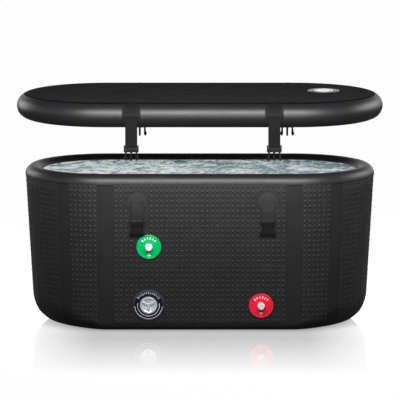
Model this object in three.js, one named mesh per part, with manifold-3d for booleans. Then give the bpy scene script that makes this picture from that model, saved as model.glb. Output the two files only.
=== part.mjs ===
// Cold plunge tub: an inflatable oval tub, with its padded lid held up above the rim.
// Millimetres, +Z up. The front faces -Y, and the origin lies on the floor under the tub's centre.
import * as THREE from "three";
import { mergeVertices } from "three/addons/utils/BufferGeometryUtils.js";
import Module from "manifold-3d";

const wasm = await Module();
wasm.setup();

// Tub
const tubLength = 1500; // over the rim
const tubWidth = 700; // over the rim
const tubHeight = 675;
const wallThickness = 70;
const wallTaper = 36; // how far the wall leans in between the rim and the floor
const rimBulge = 4; // the rim stands this far proud of both faces of the wall
const rimSkirt = 4; // straight part of the rim below its round top
const panHeight = 28;
const panFloor = 12;
const floorThickness = 30;
const sideFootRound = 30; // rounding of the lower edge along the straight sides
const endFootInset = 90; // and at the ends of the oval, where it reaches this far in
const endFootRise = 120; // and this far up
const footEase = 0.15; // how gently the side's rounding passes into the end's

// Grip pads on the outside of the wall
const padThickness = 1.5;
const padGlue = 0.4; // glue line between pad and wall
const padMargin = 4; // bare wall left above the base pan
const centrePadInset = 33; // from the end of the straight side
const cornerPadStart = 6; // degrees past the end of the straight side
const cornerPadEnd = 27.5;
const endPadStart = 36.6;
const endGrooveStart = 56;
const endGrooveEnd = 64.5;
const endGrooveDepth = 1;

// Water ports in the front wall
const inletX = -216;
const inletGap = 2.6; // from the inlet's flange to the strap's buckle above it
const drainX = 261;
const drainHeight = 110;
const portFlangeRadius = 52.5;
const portFlangeThickness = 6;
const portFlangeBevel = 2.5;
const portFlangeLip = 3; // left under the spigot's collar, which lies flush in the flange
const portBossRadius = 40; // boss welded through the wall, which the spigot screws into
const portBossProud = 2; // inside the tub
const spigotRadius = 13;
const spigotBore = 9;
const spigotShoulder = 2; // step of the collar that holds the flange
const spigotReach = 12; // nose in front of the flange
const spigotTail = 4; // thread that shows behind the boss
const plugShankLength = 28;
const plugCapRadius = 14;
const plugCapHeight = 5;
const plugEdge = 1.5;

// Inflation valves, one in the front wall and one in the lid
const tubValveX = -218;
const tubValveHeight = 112;
const tubValveFlange = 68; // radii
const tubValveCap = 36.5;
const lidValveX = 532;
const lidValveY = 43;
const lidValveFlange = 70;
const lidValveCap = 43;
const tubValveBoss = 66; // ring welded into the wall round the valve's barrel
const valveFlangeThickness = 3.5;
const valveFlangeBevel = 1.5;
const valveBarrelWall = 6;
const valveBarrelDepth = 40;
const valveLedgeDepth = 4;
const valveLedgeWidth = 5;
const valveWebDepth = 20;
const valveWebThickness = 6;
const valveThroat = 14; // radius
const sealThickness = 1.7;
const capPlay = 0.8; // all round the cap, so that it turns freely in its mouth
const capRise = 2; // above the flange
const capEdge = 7; // width of the raised edge round the dished top
const capDish = 4.5;
const capBevel = 2;
const capRibWidth = 8;
const capRibs = 3;
const pinButtonRadius = 18.5;
const pinButtonDepth = 5.5;
const pinButtonThickness = 3;
const pinStemRadius = 4;
const poppetRadius = 20;
const poppetThickness = 4;
const springRadius = 16.4;
const springWire = 1.6;
const springTurns = 2;

// Straps and side-release buckles
const webWidth = 51;
const webThickness = 2.2;
const patchThickness = 2;
const buckleBar = 5; // square bar that the webbing is looped round
const buckleSlot = 3.4;
const bucklePlay = 2; // side play of the webbing on its bar
const tubPatchRadius = 43;
const tubPatchDrop = 117; // from the rim's top to the patch's centre
const tubPatchX = [-266, 289]; // left, right
const tubRearPatchX = [-263, 383];
const sewnTop = 11.4; // top of the sewn webbing above the patch's centre
const sewnGap = 0.4; // between the sewn end and the free webbing
const tubWebLength = 38;
const socketWidth = 58;
const socketDepth = 49;
const socketThickness = 8;
const socketWall = 3; // plates in front of and behind the socket
const mouthWidth = 66;
const mouthStraight = 9;
const waistWidth = 41;
const shoulderWidth = 62;
const socketRoof = 3.5; // between the slot and the socket
const lidStrapX = [-289, 314];
const lidRearStrapX = [-263, 383];
const lidPatchWidth = 78;
const lidPatchLow = 6; // degrees above the edge's widest line
const lidPatchHigh = 70;
const lidWebLength = 125;
const maleWidth = 63;
const maleHeight = 29;
const maleThickness = 12;
const maleCorner = 3;
const prongLength = 36;
const prongStem = 7.5;
const prongRoot = 22; // stem's centre line from the middle
const prongBarb = 30.5; // outermost point of the barb from the middle
const prongBarbRise = 13; // barb above the tip
const prongThickness = 6.6;
const guideLength = 40;
const guideWidth = 9;
const guideTip = 8; // length of the pointed end
const rootOverlap = 2; // how far prongs run into the buckle's body

// Lid
const lidOverhang = 35; // beyond the rim all round
const lidThickness = 106;
const lidRaise = 202; // underside above the rim, as shown
const deckThickness = 1.5;

// Fits and fineness
const clearance = 0.3;
const railClearance = 0.5; // lid's edge to the hanging webbing
const arcStep = 11; // degrees
const rimSteps = 8;
const railSteps = 10;
const footSteps = 4;
const footCrowding = 1.5; // draws the levels together towards the floor
const patchSteps = 10;
const patchTip = 0.5; // the round top of a lid patch ends this share of a step short of its point
const roundSegments = 20;
const curveSegments = 6;
const springSides = 6;
const springSteps = 8; // for each turn
const cutReach = 1; // a cutter passes this far beyond what it cuts
const tinyLength = 1e-3; // lengths closer than this count as equal
const weldLength = 1e-4; // points closer than this are one point

const degrees = THREE.MathUtils.degToRad;

// Places that follow from the sizes
const endRadius = tubWidth / 2;
const straightHalf = tubLength / 2 - endRadius;
const rimRadius = wallThickness / 2 + rimBulge;
const rimBottom = tubHeight - rimRadius - rimSkirt;
const wallTop = rimBottom - clearance;
const wallBase = panHeight + clearance;
const wallTilt = Math.atan(wallTaper / rimBottom);
const bossBack = -wallThickness * Math.cos(wallTilt) - portBossProud;
const padTop = wallTop - clearance;
const padBottom = wallBase + padMargin;
const padFace = padGlue + padThickness;
const seatFace = padFace + clearance; // fittings stand this far off the wall
const lidBottom = tubHeight + lidRaise;
const railRadius = lidThickness / 2;
const deckRadius = endRadius + lidOverhang - railRadius - clearance;
const loopHalf = buckleBar / 2 + clearance + webThickness;
const barRelief = webWidth + bucklePlay;
// The buckle's mouth, measured down the wall from the centre of the strap's patch.
const sewnDrop = tubPatchRadius + clearance + sewnGap;
const socketTop = buckleBar / 2 + buckleSlot + socketRoof;
const mouthDrop = sewnDrop + tubWebLength + socketTop + socketDepth;
const mouthHeight = tubHeight - tubPatchDrop - mouthDrop * Math.cos(wallTilt);
// The inlet lies below the mouth, with its flange clear of the buckle's corner.
const inletReach = portFlangeRadius + inletGap;
const pastCorner = Math.max(0, Math.abs(inletX - tubPatchX[0]) - mouthWidth / 2);
const inletHeight = mouthHeight - Math.sqrt(Math.max(0, inletReach ** 2 - pastCorner ** 2));

const finish = (color, roughness, metalness = 0) =>
  new THREE.MeshStandardMaterial({ color, roughness, metalness });
const coatedFabric = finish(0x202122, 0.45);
const gripFoam = finish(0x2b2c2d, 0.6);
const webbing = finish(0x2a2a2b, 0.8);
const nylon = finish(0x1d1d1e, 0.5);
const rubber = finish(0x141414, 0.85);
const whitePlastic = finish(0xf2f2f0, 0.35);
const greenPlastic = finish(0x06b862, 0.4);
const redPlastic = finish(0xf0283c, 0.4);
const blackPlastic = finish(0x17181a, 0.4);
const navyPlastic = finish(0x23263a, 0.4);
const silverPlastic = finish(0xb9bccb, 0.3, 0.4);
const springSteel = finish(0xb4b6b8, 0.3, 1);

const tub = new THREE.Group();
const lid = new THREE.Group();
const coldPlungeTub = new THREE.Group();
coldPlungeTub.add(tub, lid);

function add(parent, name, geometry, material) {
  const mesh = new THREE.Mesh(geometry, material);
  mesh.name = name;
  parent.add(mesh);
}

// Turns a closed geometry's faces outwards, whichever way they were wound.
function outward(geometry) {
  const flat = geometry.index ? geometry.toNonIndexed() : geometry;
  const corners = flat.getAttribute("position");
  const [a, b, c] = [new THREE.Vector3(), new THREE.Vector3(), new THREE.Vector3()];
  let volume = 0;
  for (let i = 0; i < corners.count; i += 3) {
    a.fromBufferAttribute(corners, i);
    b.fromBufferAttribute(corners, i + 1);
    c.fromBufferAttribute(corners, i + 2);
    volume += a.dot(b.cross(c));
  }
  if (volume >= 0) return flat;
  for (let i = 0; i < corners.count; i += 3) {
    a.fromBufferAttribute(corners, i);
    b.fromBufferAttribute(corners, i + 1);
    corners.setXYZ(i, b.x, b.y, b.z);
    corners.setXYZ(i + 1, a.x, a.y, a.z);
  }
  return flat;
}

function toSolid(geometry) {
  const flat = geometry.index ? geometry.toNonIndexed() : geometry;
  const bare = new THREE.BufferGeometry().setAttribute("position", flat.getAttribute("position"));
  const merged = mergeVertices(bare, weldLength);
  const vertProperties = merged.getAttribute("position").array;
  const triVerts = new Uint32Array(merged.index.array);
  return new wasm.Manifold(new wasm.Mesh({ numProp: 3, vertProperties, triVerts }));
}

function toGeometry(solid) {
  const mesh = solid.getMesh();
  return new THREE.BufferGeometry()
    .setAttribute("position", new THREE.BufferAttribute(mesh.vertProperties, 3))
    .setIndex(new THREE.BufferAttribute(mesh.triVerts, 1));
}

const cut = (body, ...tools) =>
  toGeometry(tools.reduce((left, tool) => left.subtract(toSolid(tool)), toSolid(body)));
const join = (body, ...more) =>
  toGeometry(more.reduce((sum, piece) => sum.add(toSolid(piece)), toSolid(body)));

// Skins loops of equal point count, each square split along its shorter diagonal.
// A closed stack joins its last loop to its first.
// An open one gets caps, each a strip between the two halves of its loop.
function skin(loops, closed) {
  const count = loops[0].length;
  const points = loops.flat();
  const index = [];
  const quad = (a, b, c, d) => {
    const across = points[a].distanceTo(points[c]) - points[b].distanceTo(points[d]);
    index.push(...(across > tinyLength ? [a, b, d, b, c, d] : [a, b, c, a, c, d]));
  };
  loops.slice(closed ? 0 : 1).forEach((_, i) => {
    const low = i * count;
    const high = ((i + 1) % loops.length) * count;
    for (let j = 0; j < count; j++) {
      const next = (j + 1) % count;
      quad(low + j, low + next, high + next, high + j);
    }
  });
  const last = (loops.length - 1) * count;
  for (let j = 0; !closed && j < count / 2 - 1; j++) {
    const far = count - 1 - j;
    quad(far, far - 1, j + 1, j);
    quad(last + j, last + j + 1, last + far - 1, last + far);
  }
  return outward(new THREE.BufferGeometry().setFromPoints(points).setIndex(index));
}

// A body turned about Z from its half profile of [radius, height] points.
function turned(profile, segments = roundSegments) {
  const points = profile.map(([radius, height]) => new THREE.Vector2(radius, height));
  return outward(new THREE.LatheGeometry(points, segments).rotateX(Math.PI / 2));
}

const ring = (inner, outer, low, high) => [
  [inner, low],
  [outer, low],
  [outer, high],
  [inner, high],
  [inner, low],
];

const drill = (radius, low, high) =>
  new THREE.CylinderGeometry(radius, radius, high - low, roundSegments)
    .rotateX(Math.PI / 2)
    .translate(0, 0, (low + high) / 2);

// A box given by its corners.
const block = (x0, x1, y0, y1, z0, z1) =>
  new THREE.BoxGeometry(x1 - x0, y1 - y0, z1 - z0).translate((x0 + x1) / 2, (y0 + y1) / 2, (z0 + z1) / 2);

const plate = (shape, low, high) =>
  new THREE.ExtrudeGeometry(shape, { depth: high - low, bevelEnabled: false, curveSegments })
    .translate(0, 0, low);

// The oval's plan: straight sides and a half circle at each end.
// Its end angles run in degrees past a straight side, with one at every edge of a pad.
const padEdges = [0, cornerPadStart, cornerPadEnd, endPadStart, endGrooveStart, endGrooveEnd, 90];
const quarterAngles = padEdges.slice(1).flatMap((to, i) => {
  const from = padEdges[i];
  const steps = Math.ceil((to - from) / arcStep);
  return Array.from({ length: steps }, (_, step) => from + ((to - from) * step) / steps);
});
const endAngles = [...quarterAngles, 90, ...quarterAngles.map((angle) => 180 - angle).reverse()];
// A station is the middle of its arc and the direction that the wall faces there.
const oval = [1, -1].flatMap((end) =>
  endAngles.map((angle) => ({ middle: end * straightHalf, facing: degrees(angle - end * 90) })),
);
const planPoint = ({ middle, facing }, radius, z) =>
  new THREE.Vector3(middle + radius * Math.cos(facing), radius * Math.sin(facing), z);
const ovalLoop = (radiusAt, z) =>
  oval.map((station) => planPoint(station, radiusAt(station.facing), z));
const ovalPlate = (radius, low, high) =>
  skin([low, high].map((z) => ovalLoop(() => radius, z)), false);

// The lower edge is rounded lightly along the straight sides, and more towards the ends.
function footInset(z, facing) {
  const along = Math.abs(Math.cos(facing));
  const towardsEnd = ((1 + footEase) * along * along * (2 - along)) / (along + footEase);
  const inset = sideFootRound + (endFootInset - sideFootRound) * towardsEnd;
  const rise = sideFootRound + (endFootRise - sideFootRound) * towardsEnd;
  const below = Math.max(0, 1 - z / rise);
  return inset * (1 - Math.sqrt(1 - below * below));
}
const wallFace = (z) => endRadius - rimBulge - wallTaper * (1 - z / rimBottom);
const wallOuter = (z, facing) => wallFace(z) - footInset(z, facing);
const wallInner = (z) => wallFace(z) - wallThickness;
const footLevels = (from, to) =>
  Array.from({ length: footSteps + 1 }, (_, i) => from + (to - from) * (i / footSteps) ** footCrowding);
const outerLoop = (z) => ovalLoop((facing) => wallOuter(z, facing), z);
const innerLoop = (z, at = z) => ovalLoop(() => wallInner(at), z);

// A seat on the front wall: Z points out of the wall, and Y up along it.
const wallSeat = (x, z) =>
  new THREE.Matrix4()
    .makeTranslation(x, -wallFace(z), z)
    .multiply(new THREE.Matrix4().makeRotationX(Math.PI / 2 + wallTilt));

function seated(parent, matrix, rear = false) {
  const side = new THREE.Group();
  side.rotation.z = rear ? Math.PI : 0;
  const seat = new THREE.Group();
  seat.applyMatrix4(matrix);
  side.add(seat);
  parent.add(side);
  return seat;
}

const inletSeat = wallSeat(inletX, inletHeight);
const drainSeat = wallSeat(drainX, drainHeight);
const tubValveSeat = wallSeat(tubValveX, tubValveHeight);
const valveBarrel = (capRadius) => capRadius + capPlay + valveBarrelWall;

// Holes for the fittings: wide ones in the front wall, for the bosses, and close ones in its pad.
const portHole = (radius, seat) =>
  drill(radius + clearance, bossBack - cutReach, seatFace + cutReach).applyMatrix4(seat);
const valveHole = (radius, top) =>
  drill(radius + clearance, top - valveBarrelDepth - clearance, top + cutReach);
const frontHoles = (portRadius, valveRadius) => [
  portHole(portRadius, inletSeat),
  portHole(portRadius, drainSeat),
  valveHole(valveRadius, seatFace).applyMatrix4(tubValveSeat),
];

function makeShell() {
  // The wall is welded from a straight front and two hooks, each an end with half of the rear.
  const levels = [wallBase, ...footLevels(padBottom, endFootRise), wallTop];
  const section = (station) => [
    ...levels.map((z) => planPoint(station, wallOuter(z, station.facing), z)),
    ...levels.map((z) => planPoint(station, wallInner(z), z)).reverse(),
  ];
  const seam = straightHalf - clearance;
  const front = [-seam, seam].map((middle) => section({ middle, facing: -Math.PI / 2 }));
  const bossHoles = frontHoles(portBossRadius, tubValveBoss);
  add(tub, "wall_front", cut(skin(front, false), ...bossHoles), coatedFabric);
  const rightEnd = oval.slice(0, endAngles.length).map(section);
  const rearSeam = section({ middle: clearance / 2, facing: Math.PI / 2 });
  const hook = skin([...rightEnd, rearSeam], false);
  add(tub, "wall_right", hook, coatedFabric);
  add(tub, "wall_left", outward(hook.clone().scale(-1, 1, 1)), coatedFabric);

  const rimMiddle = endRadius - rimRadius;
  const rimLoop = (out, up) => ovalLoop(() => rimMiddle + out, rimBottom + rimSkirt + up);
  const crown = Array.from({ length: rimSteps + 1 }, (_, i) => (Math.PI * i) / rimSteps);
  const rimLoops = [
    rimLoop(rimRadius, -rimSkirt),
    ...crown.map((turn) => rimLoop(rimRadius * Math.cos(turn), rimRadius * Math.sin(turn))),
    rimLoop(-rimRadius, -rimSkirt),
  ];
  add(tub, "rim_band", skin(rimLoops, true), coatedFabric);

  const panLoops = [
    ...footLevels(0, panHeight).map(outerLoop),
    innerLoop(panHeight),
    innerLoop(panFloor, panHeight),
  ];
  add(tub, "base_pan", skin(panLoops, false), coatedFabric);

  const floorBase = panFloor + clearance;
  const floorRadius = wallInner(panHeight) - clearance;
  const floor = ovalPlate(floorRadius, floorBase, floorBase + floorThickness);
  add(tub, "floor_panel", floor, coatedFabric);
}

// Stations of a pad on the right end, between two of the end angles.
const padArc = (from, to, lift = padThickness) =>
  endAngles
    .filter((angle) => angle >= from && angle <= to)
    .map((angle) => ({ middle: straightHalf, facing: degrees(angle - 90), lift }));

function gripPad(stations) {
  const levels = [...footLevels(padBottom, endFootRise), padTop];
  const loops = levels.map((z) => {
    const under = stations.map((at) => planPoint(at, wallOuter(z, at.facing) + padGlue, z));
    const over = stations.map((at) => planPoint(at, wallOuter(z, at.facing) + padGlue + at.lift, z));
    return [...over, ...under.reverse()];
  });
  return skin(loops, false);
}

function makePads() {
  const half = straightHalf - centrePadInset;
  const centre = [-half, half].map((middle) => ({ middle, facing: -Math.PI / 2, lift: padThickness }));
  const front = gripPad(centre);
  const fittingHoles = frontHoles(spigotRadius, valveBarrel(tubValveCap));
  add(tub, "grip_pad_front", cut(front, ...fittingHoles), gripFoam);
  add(tub, "grip_pad_rear", front.clone().rotateZ(Math.PI), gripFoam);

  const corner = gripPad(padArc(cornerPadStart, cornerPadEnd));
  const farCorner = gripPad(padArc(180 - cornerPadEnd, 180 - cornerPadStart));
  add(tub, "grip_pad_front_right", corner, gripFoam);
  add(tub, "grip_pad_rear_right", farCorner, gripFoam);
  add(tub, "grip_pad_rear_left", corner.clone().rotateZ(Math.PI), gripFoam);
  add(tub, "grip_pad_front_left", farCorner.clone().rotateZ(Math.PI), gripFoam);

  // Two grooves part the end pad into three fields.
  const thin = padThickness - endGrooveDepth;
  const end = gripPad([
    ...padArc(endPadStart, endGrooveStart),
    ...padArc(endGrooveStart, endGrooveEnd, thin),
    ...padArc(endGrooveEnd, 180 - endGrooveEnd),
    ...padArc(180 - endGrooveEnd, 180 - endGrooveStart, thin),
    ...padArc(180 - endGrooveStart, 180 - endPadStart),
  ]);
  add(tub, "grip_pad_right_end", end, gripFoam);
  add(tub, "grip_pad_left_end", end.clone().rotateZ(Math.PI), gripFoam);
}

// A water port: a coloured flange held on the wall by a spigot that screws into its boss,
// and closed by a plug.
function makePort(name, seatMatrix, colour) {
  const seat = seated(tub, seatMatrix);
  const hole = spigotRadius + clearance;
  const flangeFace = seatFace + portFlangeThickness;
  const lipTop = seatFace + portFlangeLip;
  const shoulderBase = lipTop + clearance;
  const shoulderRadius = spigotRadius + spigotShoulder;
  const recess = shoulderRadius + clearance;
  const nose = flangeFace + spigotReach;
  const tail = bossBack - spigotTail;

  add(seat, `${name}_boss`, turned(ring(hole, portBossRadius, bossBack, 0)), coatedFabric);
  const flange = turned([
    [hole, seatFace],
    [portFlangeRadius, seatFace],
    [portFlangeRadius, flangeFace - portFlangeBevel],
    [portFlangeRadius - portFlangeBevel, flangeFace],
    [recess, flangeFace],
    [recess, lipTop],
    [hole, lipTop],
    [hole, seatFace],
  ]);
  add(seat, `${name}_flange`, flange, colour);
  const spigot = turned([
    [spigotBore, tail],
    [spigotRadius, tail],
    [spigotRadius, shoulderBase],
    [shoulderRadius, shoulderBase],
    [shoulderRadius, flangeFace],
    [spigotRadius, flangeFace],
    [spigotRadius, nose],
    [spigotBore, nose],
    [spigotBore, tail],
  ]);
  add(seat, `${name}_spigot`, spigot, whitePlastic);
  const shank = spigotBore - clearance;
  const capBase = nose + clearance;
  const plug = turned([
    [0, capBase - plugShankLength],
    [shank - plugEdge, capBase - plugShankLength],
    [shank, capBase - plugShankLength + plugEdge],
    [shank, capBase],
    [plugCapRadius, capBase],
    [plugCapRadius, capBase + plugCapHeight - plugEdge],
    [plugCapRadius - plugEdge, capBase + plugCapHeight],
    [0, capBase + plugCapHeight],
  ]);
  add(seat, `${name}_plug`, plug, whitePlastic);
}

// A wire wound round Z as a true helix.
class Helix extends THREE.Curve {
  constructor(radius, low, high, turns) {
    super();
    Object.assign(this, { radius, low, high, turns });
  }
  getPoint(t, target = new THREE.Vector3()) {
    const turn = 2 * Math.PI * this.turns * t;
    const z = this.low + (this.high - this.low) * t;
    return target.set(this.radius * Math.cos(turn), this.radius * Math.sin(turn), z);
  }
}

// An inflation valve: body, sealing ring and ribbed cap, with a sprung pin under the cap.
// Height 0 is the surface that the flange lies on.
function makeValve(name, parent, seatMatrix, capRadius, flangeRadius, bodyColour, capColour) {
  const seat = seated(parent, seatMatrix);
  const barrel = valveBarrel(capRadius);
  const mouth = capRadius + capPlay;
  const ledge = mouth - valveLedgeWidth;
  const webTop = -valveWebDepth;
  const webUnder = webTop - valveWebThickness;
  const body = turned([
    [barrel, 0],
    [flangeRadius, 0],
    [flangeRadius, valveFlangeThickness - valveFlangeBevel],
    [flangeRadius - valveFlangeBevel, valveFlangeThickness],
    [mouth, valveFlangeThickness],
    [mouth, -valveLedgeDepth],
    [ledge, -valveLedgeDepth],
    [ledge, webTop],
    [valveThroat, webTop],
    [valveThroat, webUnder],
    [barrel - valveBarrelWall, webUnder],
    [barrel - valveBarrelWall, -valveBarrelDepth],
    [barrel, -valveBarrelDepth],
    [barrel, 0],
  ]);
  add(seat, `${name}_body`, body, bodyColour);

  const sealBase = -valveLedgeDepth + clearance;
  const sealTop = sealBase + sealThickness;
  const seal = turned(ring(ledge + clearance, capRadius, sealBase, sealTop));
  add(seat, `${name}_seal`, seal, rubber);

  const capBase = sealTop + clearance;
  const capTop = valveFlangeThickness + capRise;
  const dish = capTop - capDish;
  const dishRadius = capRadius - capEdge - capDish;
  const cap = turned([
    [0, capBase],
    [capRadius, capBase],
    [capRadius, capTop - capBevel],
    [capRadius - capBevel, capTop],
    [capRadius - capEdge, capTop],
    [dishRadius, dish],
    [0, dish],
  ]);
  const ribEnd = capRadius - capEdge - capDish / 2;
  const rib = block(-capRibWidth / 2, capRibWidth / 2, 0, ribEnd, capBase + clearance, capTop);
  const ribs = Array.from({ length: capRibs }, (_, i) =>
    rib.clone().rotateZ((2 * Math.PI * (i + 0.5)) / capRibs),
  );
  add(seat, `${name}_cap`, join(cap, ...ribs), capColour);

  const buttonTop = -pinButtonDepth;
  const buttonUnder = buttonTop - pinButtonThickness;
  const poppetTop = webUnder - clearance;
  const poppetUnder = poppetTop - poppetThickness;
  const pin = turned([
    [0, poppetUnder],
    [poppetRadius, poppetUnder],
    [poppetRadius, poppetTop],
    [pinStemRadius, poppetTop],
    [pinStemRadius, buttonUnder],
    [pinButtonRadius, buttonUnder],
    [pinButtonRadius, buttonTop],
    [0, buttonTop],
  ]);
  add(seat, `${name}_pin`, pin, whitePlastic);

  const wireHalf = springWire / 2;
  const springLow = webTop + clearance + springWire;
  const springHigh = buttonUnder - clearance - springWire;
  const wire = new THREE.Shape().absarc(0, 0, wireHalf, 0, 2 * Math.PI);
  const spring = new THREE.ExtrudeGeometry(wire, {
    steps: springTurns * springSteps,
    extrudePath: new Helix(springRadius, springLow, springHigh, springTurns),
    curveSegments: springSides / 2,
  });
  add(seat, `${name}_spring`, spring, springSteel);
}

// Webbing that runs down from its hinge line and is looped round a buckle's bar.
// Height 0 is the webbing's inner face, and the hinge line lies at y = 0.
function loopedWebbing(length) {
  const loop = new THREE.Shape();
  loop.moveTo(0, 0);
  loop.lineTo(-length - loopHalf, 0);
  loop.lineTo(-length - loopHalf, 2 * loopHalf);
  loop.lineTo(-length + loopHalf, 2 * loopHalf);
  loop.lineTo(-length + loopHalf, webThickness);
  loop.lineTo(0, webThickness);
  const eye = loopHalf - webThickness;
  const gap = new THREE.Path();
  gap.moveTo(-length - eye, webThickness);
  gap.lineTo(-length + eye, webThickness);
  gap.lineTo(-length + eye, webThickness + 2 * eye);
  gap.lineTo(-length - eye, webThickness + 2 * eye);
  loop.holes.push(gap);
  const acrossX = new THREE.Matrix4().makeBasis(
    new THREE.Vector3(0, 1, 0),
    new THREE.Vector3(0, 0, 1),
    new THREE.Vector3(1, 0, 0),
  );
  return plate(loop, -webWidth / 2, webWidth / 2).applyMatrix4(acrossX);
}

// Cutters that leave a bar across the top of a buckle, with a slot below it.
function barCutters(barY, thickness) {
  const half = barRelief / 2;
  const bar = buckleBar / 2;
  const low = barY - bar - buckleSlot;
  const high = barY + bar + cutReach;
  const reach = thickness / 2 + cutReach;
  return [
    block(-half, half, low, high, loopHalf + bar, loopHalf + reach),
    block(-half, half, low, high, loopHalf - reach, loopHalf - bar),
    block(-half, half, low, barY - bar, loopHalf - reach, loopHalf + reach),
  ];
}

// The socket half of a buckle: waisted sides, and a mouth at the lower end.
function socketBuckle(barY) {
  const thickness = socketThickness + 2 * socketWall;
  const top = barY + buckleBar / 2;
  const roof = barY - socketTop;
  const waistTop = roof + socketRoof;
  const mouth = roof - socketDepth;
  const waistEnd = mouth + mouthStraight;
  // The curve's control point, which makes the sides meet the waist's width halfway.
  const waistX = waistWidth - (shoulderWidth + mouthWidth) / 4;
  const shape = new THREE.Shape();
  shape.moveTo(-shoulderWidth / 2, top);
  shape.lineTo(-shoulderWidth / 2, waistTop);
  shape.quadraticCurveTo(-waistX, (waistTop + waistEnd) / 2, -mouthWidth / 2, waistEnd);
  shape.lineTo(-mouthWidth / 2, mouth);
  shape.lineTo(mouthWidth / 2, mouth);
  shape.lineTo(mouthWidth / 2, waistEnd);
  shape.quadraticCurveTo(waistX, (waistTop + waistEnd) / 2, shoulderWidth / 2, waistTop);
  shape.lineTo(shoulderWidth / 2, top);
  const body = plate(shape, loopHalf - thickness / 2, loopHalf + thickness / 2);
  const halfDeep = socketThickness / 2;
  const halfWide = socketWidth / 2;
  const open = mouth - cutReach;
  const socket = block(-halfWide, halfWide, open, roof, loopHalf - halfDeep, loopHalf + halfDeep);
  return cut(body, socket, ...barCutters(barY, thickness));
}

// The plug half of a buckle: two barbed prongs and a pointed guide below its body.
function prongBuckle(barY) {
  const top = barY + buckleBar / 2;
  const foot = top - maleHeight;
  const half = maleWidth / 2;
  const shape = new THREE.Shape();
  shape.moveTo(-half, top);
  shape.lineTo(-half, foot + maleCorner);
  shape.quadraticCurveTo(-half, foot, -half + maleCorner, foot);
  shape.lineTo(half - maleCorner, foot);
  shape.quadraticCurveTo(half, foot, half, foot + maleCorner);
  shape.lineTo(half, top);
  const body = plate(shape, loopHalf - maleThickness / 2, loopHalf + maleThickness / 2);

  const root = foot + rootOverlap;
  const tip = foot - prongLength;
  const barbY = tip + prongBarbRise;
  const inner = prongRoot - prongStem / 2;
  const outer = prongRoot + prongStem / 2;
  const prong = (side) => {
    const outline = new THREE.Shape();
    outline.moveTo(side * inner, root);
    outline.lineTo(side * outer, root);
    outline.quadraticCurveTo(side * outer, barbY + prongStem, side * prongBarb, barbY);
    outline.quadraticCurveTo(side * prongBarb, tip, side * prongRoot, tip);
    outline.lineTo(side * inner, tip + prongStem);
    return plate(outline, loopHalf - prongThickness / 2, loopHalf + prongThickness / 2);
  };
  const guide = new THREE.Shape();
  guide.moveTo(-guideWidth / 2, root);
  guide.lineTo(-guideWidth / 2, foot - guideLength + guideTip);
  guide.lineTo(0, foot - guideLength);
  guide.lineTo(guideWidth / 2, foot - guideLength + guideTip);
  guide.lineTo(guideWidth / 2, root);
  const guidePlate = plate(guide, loopHalf - prongThickness / 2, loopHalf + prongThickness / 2);
  const cutBody = cut(body, ...barCutters(barY, maleThickness));
  return join(cutBody, prong(1), prong(-1), guidePlate);
}

// A strap on the wall: a round patch with the webbing's sewn end, and the free end with its socket.
function makeTubStrap(corner, x, rear) {
  const height = tubHeight - tubPatchDrop;
  const seat = seated(tub, wallSeat(rear ? -x : x, height), rear);
  const sewnFace = seatFace + patchThickness;
  const sewnEnd = sewnGap - sewnDrop;
  const disc = drill(tubPatchRadius, seatFace, sewnFace);
  const sewn = block(
    -webWidth / 2,
    webWidth / 2,
    sewnEnd,
    sewnTop,
    sewnFace - patchThickness / 2,
    sewnFace + webThickness,
  );
  add(seat, `tub_patch_${corner}`, join(disc, sewn), coatedFabric);
  const place = (geometry) => geometry.translate(0, -sewnDrop, sewnFace);
  add(seat, `tub_webbing_${corner}`, place(loopedWebbing(tubWebLength)), webbing);
  add(seat, `tub_buckle_${corner}`, place(socketBuckle(-tubWebLength)), nylon);
}

// A strap on the lid: a round-topped patch on the edge rail, and webbing that hangs from it.
function makeLidStrap(corner, x, rear) {
  const front = endRadius + lidOverhang;
  const matrix = new THREE.Matrix4()
    .makeTranslation(rear ? -x : x, -front, lidBottom + railRadius)
    .multiply(new THREE.Matrix4().makeRotationX(Math.PI / 2));
  const seat = seated(lid, matrix, rear);
  const half = lidPatchWidth / 2;
  const under = railRadius + clearance;
  const arc = degrees(lidPatchHigh - lidPatchLow) * under;
  const loops = Array.from({ length: patchSteps }, (_, i) => {
    const along = (arc * Math.max(i, patchTip)) / (patchSteps - 1);
    const turn = degrees(lidPatchHigh) - along / under;
    const short = Math.max(0, half - along);
    const wide = Math.sqrt(half * half - short * short);
    const at = (side, radius) =>
      new THREE.Vector3(side * wide, radius * Math.sin(turn), radius * Math.cos(turn) - railRadius);
    return [
      at(-1, under),
      at(1, under),
      at(1, under + patchThickness),
      at(-1, under + patchThickness),
    ];
  });
  add(seat, `lid_patch_${corner}`, skin(loops, false), coatedFabric);
  const place = (geometry) => geometry.translate(0, 0, railClearance);
  add(seat, `lid_webbing_${corner}`, place(loopedWebbing(lidWebLength)), webbing);
  add(seat, `lid_buckle_${corner}`, place(prongBuckle(-lidWebLength)), nylon);
}

function makeLid() {
  const lidTop = lidBottom + lidThickness;
  const coreTop = lidTop - deckThickness - clearance;
  const valveSeat = new THREE.Matrix4().makeTranslation(lidValveX, lidValveY, lidTop + clearance);
  const hole = valveHole(valveBarrel(lidValveCap), 0).applyMatrix4(valveSeat);
  add(lid, "lid_core", cut(ovalPlate(deckRadius, lidBottom, coreTop), hole), coatedFabric);
  const topDeck = ovalPlate(deckRadius, coreTop + clearance, lidTop);
  add(lid, "lid_top_deck", cut(topDeck, hole), gripFoam);

  const railLoops = Array.from({ length: railSteps + 1 }, (_, i) => {
    const turn = Math.PI * (i / railSteps - 0.5);
    const radius = deckRadius + clearance + railRadius * Math.cos(turn);
    return ovalLoop(() => radius, lidBottom + railRadius * (1 + Math.sin(turn)));
  });
  add(lid, "lid_edge_rail", skin(railLoops, true), coatedFabric);
  makeValve("lid_valve", lid, valveSeat, lidValveCap, lidValveFlange, blackPlastic, whitePlastic);
}

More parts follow.
